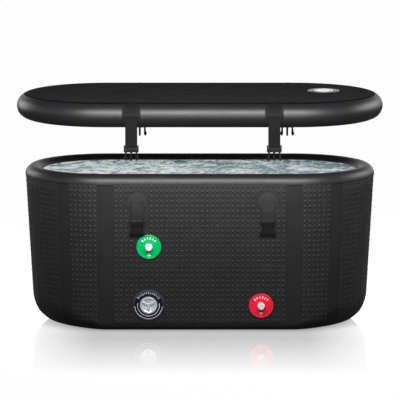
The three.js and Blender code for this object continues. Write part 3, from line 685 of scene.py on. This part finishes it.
valve = {"flangeRise": 3.5, "play": 0.8, "wall": 6, "depth": 40, "ledge": 5, "ledgeDepth": 4, "throat": 14,
         "webTop": -20, "webUnder": -26, "capBase": -1.7, "capTop": 5.5, "dish": 1.0, "edge": 7, "grip": 11,
         "pinButton": 18.5, "pinTop": -5.5, "stem": 4, "poppet": 20, "coil": 16.4, "wire": 1.6, "coilLow": -18.1,
         "coilHigh": -10.4, "turns": 2, "pressed": 0.66}


def makeValve(name, seat, carrier, cap, flange, bodyFinish, capFinish):
    mouth = cap + valve["play"]
    barrel = mouth + valve["wall"]
    rise, ledge, foot = valve["flangeRise"], mouth - valve["ledge"], -valve["depth"]
    body = turned(name + "Body", [
        (barrel, 0), (flange, 0), (flange, rise - 1.5), (flange - 0.5, rise - 0.5), (flange - 1.5, rise),
        (mouth + 3.2, rise), (mouth + 3, rise - 0.5), (mouth + 2.2, rise - 0.5), (mouth + 2, rise),
        (mouth + 0.5, rise), (mouth, rise - 0.5), (mouth, -valve["ledgeDepth"]), (ledge, -valve["ledgeDepth"]),
        (ledge, valve["webTop"]), (valve["throat"], valve["webTop"]), (valve["throat"], valve["webUnder"]),
        (mouth, valve["webUnder"]), (mouth, foot), (barrel, foot)], seat, 96)
    finishPiece(body, bodyFinish, carrier, [name + "_body"])

    low, top, dish = valve["capBase"], valve["capTop"], valve["dish"]
    inner = cap - valve["edge"]
    parts = [turned(name + "Cap", [
        (0, low), (cap, low), (cap, top - 1.8), (cap - 0.5, top - 0.6), (cap - 1.6, top), (inner + 0.8, top),
        (inner, top - 0.4), (inner - 2.6, dish + 0.4), (inner - 3.6, dish), (0, dish)], Matrix(), 96)]
    for turn in (30, 150, 270):
        length = inner - 1.5
        clearSelection()
        bpy.ops.mesh.primitive_cube_add(size=mm)
        rib = bpy.context.object
        bpy.ops.transform.resize(value=(length, valve["grip"], top - low - 0.6))
        bpy.ops.object.transform_apply(location=False, rotation=False, scale=True)
        rib.data.transform(Matrix.Translation(Vector((length / 2, 0, (top + low + 0.6) / 2)) * mm))
        pick(rib, "vertices", lambda vertex: vertex.co.z > dish * mm)
        bpy.ops.transform.resize(value=(1, 0.72, 1), center_override=(0, 0, 0))
        bpy.ops.object.mode_set(mode="OBJECT")
        softenEdges(rib, 0.9, 3)
        rib.data.transform(Matrix.Rotation(math.radians(turn), 4, "Z"))
        parts.append(rib)
    piece = joined(name + "Cap", parts)
    piece.data.transform(seat)
    finishPiece(piece, capFinish, name + "_cap", [name + "_cap"])

    button, under = valve["pinTop"], valve["pinTop"] - 3
    poppetTop = valve["webUnder"] - 0.3
    pin = turned(name + "Pin", [
        (0, poppetTop - 4), (valve["poppet"] - 1, poppetTop - 4), (valve["poppet"], poppetTop - 3),
        (valve["poppet"], poppetTop), (valve["stem"], poppetTop), (valve["stem"], under),
        (valve["pinButton"] - 0.5, under), (valve["pinButton"], under + 0.5), (valve["pinButton"], button - 0.8),
        (valve["pinButton"] - 0.8, button), (6, button), (5, button - 0.7), (0, button - 0.7)], seat, 64)
    finishPiece(pin, whiteAbs, name + "_pin", [name + "_pin"])

    # A wire section, screwed up round the axis.
    wire, low = valve["wire"] / 2, valve["coilLow"]
    spring = pulledOutline(name + "Spring", bend((valve["coil"], low), wire, 0, 315, 7), lambda out, z: (out, 0, z))
    modify(spring, "SCREW", angle=2 * math.pi, screw_offset=(valve["coilHigh"] - low) / valve["turns"] * mm,
           iterations=valve["turns"], steps=40, render_steps=40, axis="Z")
    takeUp(spring, editing=True)
    bpy.ops.mesh.fill_holes(sides=0)
    closeSeams(spring)
    spring.data.transform(seat)
    finishPiece(spring, springSteel, carrier, [name + "_spring"], sharp=60)
    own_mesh(spring)


def ringMark(radius, width, start, sweep, seat, rise=0.15):
    low, high = valve["flangeRise"] - 0.1, valve["flangeRise"] + rise
    outline = [(radius - width / 2, low), (radius + width / 2, low), (radius + width / 2, high),
               (radius - width / 2, high)]
    return turned("mark", outline, seat, max(12, int(sweep / 5)), start, sweep)


tubValveSeat = wallSeat(wallValve["x"], wallValve["z"]) @ Matrix.Translation((0, 0, seatFace * mm))
makeValve("tub_valve", tubValveSeat, "tub", wallValve["cap"], wallValve["flange"], navyAbs,
          pearlAbs)
marks = [ringMark(46.6, 2.2, 168, 204, tubValveSeat), ringMark(58.5, 2.2, 185, 170, tubValveSeat)]
for i in range(13):
    marks.append(ringMark(54, 8 if i % 3 else 11, 36 + 9 * i - 1.3, 2.6, tubValveSeat))
finishPiece(joined("tubValveMarks", marks), whiteInk, "tub")
ground = ringMark(51.5, 19, 0, 360, tubValveSeat, 0.05)
ground.name = "tubValveGround"
finishPiece(ground, blackInk, "tub")

lidValve = {"x": 532, "y": 43, "z": 983.3, "flange": 70, "cap": 43}
lidValveSeat = Matrix.Translation(Vector((lidValve["x"], lidValve["y"], lidValve["z"])) * mm)
makeValve("lid_valve", lidValveSeat, "lid", lidValve["cap"], lidValve["flange"], blackAbs,
          shadedWhiteAbs)
marks = [ringMark(52.5, 2.2, 0, 360, lidValveSeat), ringMark(64, 2.2, 0, 360, lidValveSeat)]
finishPiece(joined("lidValveMarks", marks), whiteInk, "lid")
print("air valves made")


# Lid: round edge rail, dotted top deck, plain bottom deck

lid = {"bottom": 877, "top": 983, "railRadius": 53, "deckRadius": 331.7, "deck": 1.5, "pitch": 21.5,
       "domeRadius": 4.6, "domeHeight": 0.45, "clearEdge": 14, "tapeLift": (0.06, 0.26), "tapeIn": 6, "tapeDown": 66}


def paintTopHighlights(material, low, high, highlightColour):
    # Whatever stands up from the film between these heights in mm is painted paler towards its top: a painted
    # highlight.
    tree = material.node_tree
    shader = tree.nodes["Principled BSDF"]
    place = addNode(tree, "ShaderNodeTexCoord").outputs["Object"]
    height = addNode(tree, "ShaderNodeSeparateXYZ", {0: place}).outputs["Z"]
    highlightMask = addNode(tree, "ShaderNodeMapRange", {"Value": height, "From Min": low * mm, "From Max": high * mm})
    film = shader.inputs["Base Color"].links[0].from_socket
    colour = addNode(tree, "ShaderNodeMix", {0: highlightMask.outputs["Result"], 6: film, 7: linear(highlightColour)},
                     data_type="RGBA")
    tree.links.new(colour.outputs[2], shader.inputs["Base Color"])


def makeLid():
    # Painted highlight: the tops of the deck's domes are painted paler.
    paintTopHighlights(deckFilm, lid["top"] + 0.05, lid["top"] + lid["domeHeight"], "#3a3a3b")
    inside = lid["deckRadius"] + 0.3
    rail = sweptOval("lidRail", bend((inside, lid["bottom"] + lid["railRadius"]), lid["railRadius"], -90, 90, 28))
    finishPiece(rail, glossFabric, "lid", ["lid_edge_rail"], sharp=50)

    middle = (inside, lid["bottom"] + lid["railRadius"])
    under, over = (lid["railRadius"] + lift for lift in lid["tapeLift"])
    tapeEdge = inside - lid["tapeIn"]
    profile = [(tapeEdge, middle[1] + under)] + bend(middle, under, 90, lid["tapeDown"], 10)
    profile += bend(middle, over, lid["tapeDown"], 90, 10) + [(tapeEdge, middle[1] + over)]
    tape = sweptOval("lidSeamTape", profile)
    finishPiece(tape, seamTape, "lid")

    radius, deck = lid["deckRadius"], lid["deck"]
    low, high = lid["top"] - deck, lid["top"]
    barrel = lidValve["cap"] + valve["play"] + valve["wall"] + fitGap
    core = sweptOval("lidCore", [(radius, low - fitGap), (radius, lid["bottom"] + 0.5), (radius - 0.5, lid["bottom"])],
                     closed=False)
    cutAway(core, [cylinder("cutter", barrel, -valve["depth"] - fitGap, 20, lidValveSeat)])
    finishPiece(core, coatedFabric, "lid", ["lid_core"])

    plate = sweptOval("lidTopDeck", [(radius, low), (radius, high - 0.5), (radius - 0.5, high)], closed=False)
    cutAway(plate, [cylinder("cutter", barrel, -20, 20, lidValveSeat)])

    columns = int(2 * (tub["straight"] + radius) / lid["pitch"])
    rows = int(2 * radius / lid["pitch"])
    first = (-lid["pitch"] * (columns - 1) / 2, -lid["pitch"] * (rows - 1) / 2)
    domes = domeField("lidDomes", first, columns, rows, lid["pitch"], lid["domeRadius"], lid["domeHeight"] + 0.1,
                      high - 0.1)

    def offDeck(vertex):
        x, y = cellCentre(vertex.co, first, lid["pitch"])
        middle = max(-tub["straight"], min(tub["straight"], x))
        if math.dist((x, y), (lidValve["x"], lidValve["y"])) < lidValve["flange"] + 6:
            return True
        return math.hypot(x - middle, y) > radius - lid["clearEdge"]

    pick(domes, "vertices", offDeck)
    bpy.ops.mesh.delete(type="VERT")
    bpy.ops.object.mode_set(mode="OBJECT")
    top = joined("lidTopDeck", [plate, domes])
    finishPiece(top, deckFilm, "lid", ["lid_top_deck"])


makeLid()
print("lid made")


# Straps: welded patches, stitched webbing, and buckles

strap = {"width": 51, "thickness": 2.2, "patch": 2, "bar": 3.9, "corner": 2.0, "tail": 24, "edge": 0.7,
         "stitch": 4.6, "tubPatch": 43, "tubPatchHeight": 558, "sewnTop": 11.4, "hinge": -43.5, "tubBar": -81.7,
         "lidPatchHalf": 39, "lidPatchLow": 6, "lidPatchHigh": 70, "leg": 15, "notch": 27, "lidBar": -125, "lidHeight": 930, "lidFront": 385}


def webbingPath(top, barY, inner):
    # Down behind the bar, round it, and back up on its own front as a short sewn tail.
    back = inner + strap["thickness"] / 2
    front = back + 2 * strap["bar"]
    r, half = strap["corner"], strap["bar"]
    low, high = barY - half, barY + half
    down = [(top + (low + r - top) * i / 24, back) for i in range(24)]
    turn = bend((low + r, back + r), r, 270, 180, 4) + bend((low + r, front - r), r, 180, 90, 4)
    over = bend((high - r, front - r), r, 90, 0, 4)
    lying = back + strap["thickness"] + 0.1
    tail = bend((high + r, lying + r), r, 180, 270, 4)
    return down + turn + over + tail + [(high + r + strap["tail"] * i / 4, lying) for i in range(1, 5)]


def stitchRow(name, path, height, place):
    # Stitches along a path of [x, y] points: one thread loop, repeated along X and then laid on the path.
    pitch = strap["stitch"]
    lengths = [0]
    for before, after in zip(path, path[1:]):
        lengths.append(lengths[-1] + math.dist(before, after))
    count = max(1, int(lengths[-1] / pitch))
    clearSelection()
    bpy.ops.mesh.primitive_uv_sphere_add(segments=6, ring_count=4, radius=mm)
    piece = bpy.context.object
    piece.name = name
    bpy.ops.transform.resize(value=(pitch * 0.42, 0.8, 0.45))
    bpy.ops.object.transform_apply(location=False, rotation=False, scale=True)
    modify(piece, "ARRAY", count=count, use_relative_offset=False, use_constant_offset=True,
           constant_offset_displace=(pitch * mm, 0, 0))

    def onPath(x, y, z):
        number = min(count - 1, max(0, round(x / mm / pitch)))
        at = (number + 0.5) * lengths[-1] / count
        leg = next(i for i in range(len(path) - 1) if at <= lengths[i + 1] + 1e-6)
        start, end = Vector(path[leg]), Vector(path[leg + 1])
        along = (end - start).normalized()
        point = start + along * (at - lengths[leg] + x / mm - number * pitch)
        point += Vector((-along.y, along.x)) * (y / mm)
        return place(point.x, point.y, height + z / mm)

    reshape(piece, onPath)
    return piece


def strapWebbing(name, finish, path, seat, node):
    piece = ribbon(name, path, strap["width"], strap["thickness"])
    piece.data.transform(seat)
    finishPiece(piece, finish, None, [node], sharp=50)
    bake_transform(piece)


def makeTubStrap(corner):
    rear = corner.startswith("rear")
    seat = wallSeat(tubStraps[corner], strap["tubPatchHeight"], rear)
    face = seatFace + strap["patch"]
    clearSelection()
    bpy.ops.mesh.primitive_circle_add(vertices=72, radius=strap["tubPatch"] * mm, fill_type="NGON",
                                      location=(0, 0, seatFace * mm))
    disc = bpy.context.object
    disc.name = "tubPatch_" + corner
    bpy.ops.object.transform_apply(location=True, rotation=False, scale=False)
    takeUp(disc, editing=True)
    bpy.ops.mesh.extrude_region_move(TRANSFORM_OT_translate={"value": (0, 0, strap["patch"] * mm)})
    closeSeams(disc)
    softenEdges(disc, strap["edge"])
    disc.data.transform(seat)
    finishPiece(disc, tubPatchFilmPaintedLight, "tub", ["tub_patch_" + corner])

    hinge = strap["hinge"]
    path = webbingPath(strap["sewnTop"], strap["tubBar"], face)
    strapWebbing("tubWebbing_" + corner, tubWebbing, path, seat,
                 "tub_webbing_" + corner)
    buckle = refinedCopy("tubBuckle_" + corner, "tub_buckle_" + corner, 0.8)
    finishPiece(buckle, acetal, "tub_strap_" + corner, ["tub_buckle_" + corner])

    # A stitched box, crossed from corner to corner, through the sewn end of the webbing.
    side, top, bottom = strap["width"] / 2 - 3, strap["sewnTop"] - 3, hinge + 10
    box = [(-side, bottom), (side, bottom), (side, top), (-side, top), (-side, bottom)]
    onTop = face + strap["thickness"]
    place = lambda x, y, z: Vector((x, y, z)) * mm
    rows = [stitchRow("stitches", run, onTop, place)
            for run in (box, [(-side, bottom), (side, top)], [(-side, top), (side, bottom)])]
    stitches = joined("tubStitches_" + corner, rows)
    stitches.data.transform(seat)
    finishPiece(stitches, thread, "tub")


def makeLidStrap(corner):
    rear = corner.startswith("rear")
    x = lidStraps[corner]
    seat = Matrix.Translation(Vector((-x if rear else x, -strap["lidFront"], strap["lidHeight"])) * mm)
    seat = seat @ Matrix.Rotation(math.pi / 2, 4, "X")
    if rear:
        seat = Matrix.Rotation(math.pi, 4, "Z") @ seat
    under = lid["railRadius"] + 0.3
    half = strap["lidPatchHalf"]
    length = math.radians(strap["lidPatchHigh"] - strap["lidPatchLow"]) * under

    def onRail(x, up, out):
        turn = math.radians(strap["lidPatchLow"]) + up / mm / under
        radius = under + out / mm
        return Vector((x / mm, radius * math.sin(turn), radius * math.cos(turn) - lid["railRadius"])) * mm

    # The patch reaches down on both sides of the webbing.
    leg, notch = strap["leg"], strap["notch"]
    outline = [(-half, -leg), (-notch, -leg), (-notch, 0), (notch, 0), (notch, -leg), (half, -leg)]
    outline += bend((0, length - half), half, 0, 180, 40)
    patch = mark("lidPatch_" + corner, outline, 0, strap["patch"], Matrix())
    softenEdges(patch, strap["edge"])
    takeUp(patch, editing=True)
    for i in range(1, 20):
        bpy.ops.mesh.select_all(action="SELECT")
        bpy.ops.mesh.bisect(plane_co=(0, ((length + leg) * i / 20 - leg) * mm, 0), plane_no=(0, 1, 0))
    bpy.ops.object.mode_set(mode="OBJECT")
    reshape(patch, onRail)
    patch.data.transform(seat)
    finishPiece(patch, lidPatchFilmPaintedShade, "lid", ["lid_patch_" + corner])

    # A row of stitches round the patch, and one above the webbing.
    inset = half - 4
    around = [(inset, 4 - leg)] + bend((0, length - half), inset, 0, 180, 24) + [(-inset, 4 - leg)]
    rows = [stitchRow("stitches", run, strap["patch"], lambda x, y, z: onRail(x * mm, y * mm, z * mm))
            for run in (around, [(-inset, 4), (inset, 4)])]
    stitches = joined("lidStitches_" + corner, rows)
    stitches.data.transform(seat)
    finishPiece(stitches, thread, "lid")

    inner = 0.5
    path = webbingPath(4.5, strap["lidBar"], inner)
    strapWebbing("lidWebbing_" + corner, lidWebbing, path, seat,
                 "lid_webbing_" + corner)
    buckle = refinedCopy("lidBuckle_" + corner, "lid_buckle_" + corner, 0.8)
    finishPiece(buckle, acetal, "lid_strap_" + corner, ["lid_buckle_" + corner])


for corner in tubStraps:
    makeTubStrap(corner)
    makeLidStrap(corner)
print("straps made")


# Solids that stay as they are, with the right finish

def dress(node, finish):
    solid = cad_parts[node]
    solid.data.materials.clear()
    solid.data.materials.append(finish)


for node, finish in (("tub_valve_boss", coatedFabric), ("tub_valve_seal", silicone), ("lid_valve_seal", silicone)):
    dress(node, finish)


# Stage: white floor, and the iced water that the tub is shown with

stage = {"floor": 80, "water": 652, "waterRadius": 275, "waterGlow": 0.64, "glow": 0.98, "albedo": 0.08, "mirrored": 0.06,
         "polishHalf": (0.45, 0.76), "polishReach": (0.5, 1.3), "cornerShade": 0.07, "cornerDepth": 0.4, "polishShade": 0.12}


def seenStrength(tree, glow, mirrored):
    # Full strength for what the camera sees, straight or through glass, and a share of it in reflections.
    rays = addNode(tree, "ShaderNodeLightPath").outputs
    straight = addNode(tree, "ShaderNodeMath", {0: rays["Is Camera Ray"], 1: rays["Is Transmission Ray"]},
                       operation="ADD")
    seen = addNode(tree, "ShaderNodeMath", {0: rays["Is Glossy Ray"], 1: mirrored, 2: straight.outputs[0]},
                   operation="MULTIPLY_ADD")
    return addNode(tree, "ShaderNodeMath", {0: seen.outputs[0], 1: glow}, operation="MULTIPLY").outputs[0]


def floorPaint():
    # White paint, polished in front of the tub as far as its reflection reaches. Its glow is painted darker across the
    # polished part, as shade in front of the tub, and where the tub stands close, as contact shadow.
    grey = [stage["albedo"]] * 3 + [1]
    material, tree, shader = startMaterial("white floor paint", Base_Color=grey, Roughness=0.8,
                                           Specular_IOR_Level=0.0, Emission_Color=linear("#ffffff"),
                                           Coat_Roughness=0.04, Coat_IOR=1.5)
    # Painted contact shadow: ambient occlusion darkens the floor's glow where the tub stands close.
    corners = addNode(tree, "ShaderNodeAmbientOcclusion", {"Distance": stage["cornerShade"]})
    shade = addNode(tree, "ShaderNodeMapRange", {"Value": corners.outputs["AO"], "To Min": 1 - stage["cornerDepth"]})
    glow = addNode(tree, "ShaderNodeMath", {0: seenStrength(tree, stage["glow"], stage["mirrored"]),
                                            1: shade.outputs["Result"]}, operation="MULTIPLY")
    place = addNode(tree, "ShaderNodeTexCoord").outputs["Object"]
    axes = addNode(tree, "ShaderNodeSeparateXYZ", {0: place}).outputs
    fades = []
    for axis, (near, far) in (("X", stage["polishHalf"]), ("Y", stage["polishReach"])):
        away = addNode(tree, "ShaderNodeMath", {0: axes[axis]}, operation="ABSOLUTE")
        fade = addNode(tree, "ShaderNodeMapRange", {"Value": away.outputs[0], "From Min": near, "From Max": far,
                                                    "To Min": 1.0, "To Max": 0.0})
        fades.append(fade.outputs["Result"])
    polish = addNode(tree, "ShaderNodeMath", {0: fades[0], 1: fades[1]}, operation="MULTIPLY")
    tree.links.new(polish.outputs[0], shader.inputs["Coat Weight"])
    # Painted shade: the glow is darkened across the polished part in front of the tub.
    polishShadeFactor = addNode(tree, "ShaderNodeMath", {0: polish.outputs[0], 1: -stage["polishShade"], 2: 1.0},
                   operation="MULTIPLY_ADD")
    shadedGlow = addNode(tree, "ShaderNodeMath", {0: glow.outputs[0], 1: polishShadeFactor.outputs[0]}, operation="MULTIPLY")
    tree.links.new(shadedGlow.outputs[0], shader.inputs["Emission Strength"])
    return material


def glowingIcedWater():
    # Ripples and thin ice: broad pale and dark stretches, and small flecks in them. The water's colour is painted
    # light: it glows, seen straight by the camera and at a share in reflections, and is whiter towards the left end.
    material, tree, shader = startMaterial("iced water", Base_Color=linear("#1c262a"), Roughness=0.25, IOR=1.33,
                                           Specular_IOR_Level=0.04)
    tree.links.new(seenStrength(tree, stage["waterGlow"], 0.35), shader.inputs["Emission Strength"])
    place = addNode(tree, "ShaderNodeTexCoord").outputs["Object"]
    patches = addNode(tree, "ShaderNodeTexNoise", {"Vector": place, "Scale": 9.0, "Detail": 2.0,
                                                   "Roughness": 0.5, "Distortion": 1.2})
    drawn = addNode(tree, "ShaderNodeMapping", {"Vector": place, "Scale": (38, 16, 16)})
    flecks = addNode(tree, "ShaderNodeTexNoise", {"Vector": drawn.outputs[0], "Scale": 1.0, "Detail": 3.0,
                                                  "Roughness": 0.6, "Distortion": 1.6})
    mottled = addNode(tree, "ShaderNodeMath", {0: flecks.outputs["Fac"], 1: 0.9, 2: patches.outputs["Fac"]},
                      operation="MULTIPLY_ADD")
    axes = addNode(tree, "ShaderNodeSeparateXYZ", {0: place}).outputs
    pale = addNode(tree, "ShaderNodeMapRange", {"Value": axes["X"], "From Min": -0.5, "From Max": 0.1,
                                                "To Min": 0.13, "To Max": 0.0})
    whiter = addNode(tree, "ShaderNodeMath", {0: pale.outputs["Result"], 1: mottled.outputs[0]}, operation="ADD")
    tone = addNode(tree, "ShaderNodeMapRange", {"Value": whiter.outputs[0], "From Min": 0.87, "From Max": 1.2})
    colour = addNode(tree, "ShaderNodeMix", {0: tone.outputs["Result"], 6: linear("#5f7a84"), 7: linear("#eef5f5")},
                     data_type="RGBA")
    tree.links.new(colour.outputs[2], shader.inputs["Emission Color"])
    bump = addNode(tree, "ShaderNodeBump", {"Height": patches.outputs["Fac"], "Strength": 0.4, "Distance": 6 * mm})
    tree.links.new(bump.outputs["Normal"], shader.inputs["Normal"])
    return material


def makeStage():
    clearSelection()
    bpy.ops.mesh.primitive_plane_add(size=stage["floor"])
    ground = bpy.context.object
    ground.name = "studioFloor"
    ground.data.materials.append(floorPaint())

    edge, level = stage["waterRadius"], stage["water"]
    water = sweptOval("water", [(edge - 1, level - 4), (edge, level - 2), (edge - 1, level)], closed=False)
    water.data.materials.append(glowingIcedWater())


makeStage()

softboxes = [{"name": "front softbox", "place": (0, -1.3, 1.45), "aim": (0, -0.37, 0.92), "size": (2.2, 0.55),
              "spread": 100, "power": 20},
             {"name": "low front strip", "place": (0, -1.6, 0.82), "aim": (0, 0.3, 0.7), "size": (2.0, 0.2),
              "spread": 60, "power": 1.3},
             {"name": "right kicker", "place": (2.2, 0.5, 1.5), "aim": (0.75, 0, 0.93), "size": (1.6, 0.8),
              "spread": 180, "power": 18},
             {"name": "left rim light", "place": (-2.2, 1.4, 1.2), "aim": (-0.75, 0, 0.9), "size": (0.5, 1.0),
              "spread": 180, "power": 8},
             {"name": "rear softbox", "place": (0, 1.9, 0.45), "aim": (0, 0.35, 0.4), "size": (2.2, 0.5),
              "spread": 180, "power": 20}]
fill = {"name": "front fill", "height": 12, "strength": 0.22, "angle": 60}

for lamp in softboxes:
    clearSelection()
    towards = Vector(lamp["aim"]) - Vector(lamp["place"])
    bpy.ops.object.light_add(type="AREA", location=lamp["place"], rotation=towards.to_track_quat("-Z", "Y").to_euler())
    box = bpy.context.object
    box.name = lamp["name"]
    box.data.shape = "RECTANGLE"
    box.data.size, box.data.size_y = lamp["size"]
    box.data.spread = math.radians(lamp["spread"])
    box.data.energy = lamp["power"]
    box.visible_camera = False
clearSelection()
bpy.ops.object.light_add(type="SUN", rotation=(math.radians(90 - fill["height"]), 0, 0))
sun = bpy.context.object
sun.name = fill["name"]
sun.data.energy = fill["strength"]
sun.data.angle = math.radians(fill["angle"])

# The white backdrop ends at a height above which black flags hang, so polished things mirror it only low down.
sky = {"ambient": 0.03, "backdropTop": (0.30, 0.42)}
world = bpy.data.worlds.new("studio")
bpy.context.scene.world = world
world.use_nodes = True
air = world.node_tree
direction = addNode(air, "ShaderNodeTexCoord").outputs["Generated"]
height = addNode(air, "ShaderNodeSeparateXYZ", {0: direction}).outputs["Z"]
backdrop = addNode(air, "ShaderNodeMapRange", {"Value": height, "From Min": sky["backdropTop"][0],
                                               "From Max": sky["backdropTop"][1], "To Min": 1.0, "To Max": 0.0})
light = addNode(air, "ShaderNodeMath", {0: seenStrength(air, 1.0, backdrop.outputs["Result"]), 1: sky["ambient"]},
                operation="MAXIMUM")
air.nodes["Background"].inputs["Color"].default_value = linear("#ffffff")
air.links.new(light.outputs[0], air.nodes["Background"].inputs["Strength"])
print("stage and lights made")
